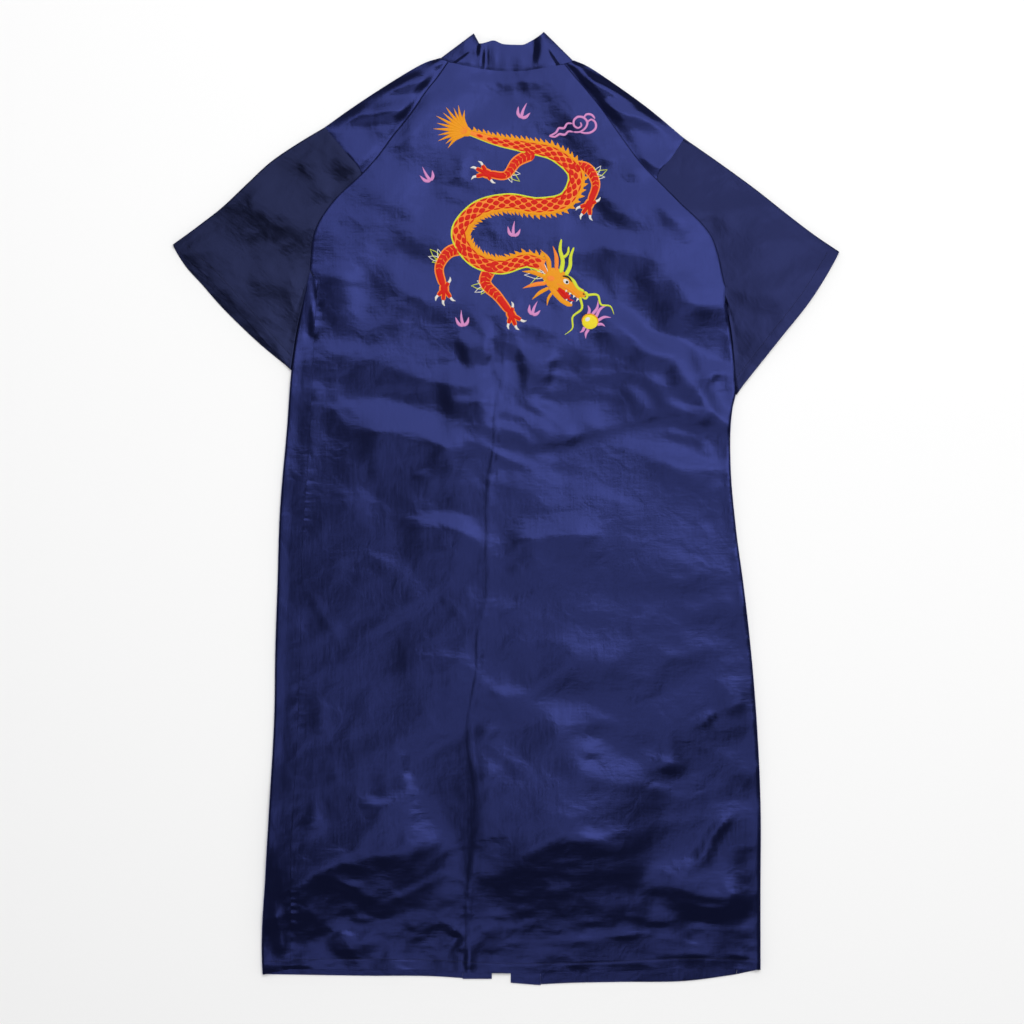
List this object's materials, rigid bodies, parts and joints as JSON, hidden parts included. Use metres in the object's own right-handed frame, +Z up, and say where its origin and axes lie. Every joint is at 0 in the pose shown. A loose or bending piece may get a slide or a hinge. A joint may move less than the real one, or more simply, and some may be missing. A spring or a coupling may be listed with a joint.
{
  "type": "kimono robe",
  "caption": "Short-sleeved satin kimono robe with a narrow neckband, laid flat with its back side up.",
  "frame": {"origin": "centre of the robe's outline seen from above, at the surface it lies on", "axes": "+Z up out of the surface, +Y from the hem to the neckband, +X to the right sleeve as seen from above"},
  "size_m": [0.846, 1.21, 0.0087],
  "materials": {
    "satin": "navy polyester satin with a soft sheen"
  },
  "bodies": {
    "root": {"back": "satin", "front_left": "satin", "front_right": "satin", "neckband": "satin", "sleeve_left": "satin", "sleeve_right": "satin"}
  },
  "joints": []
}
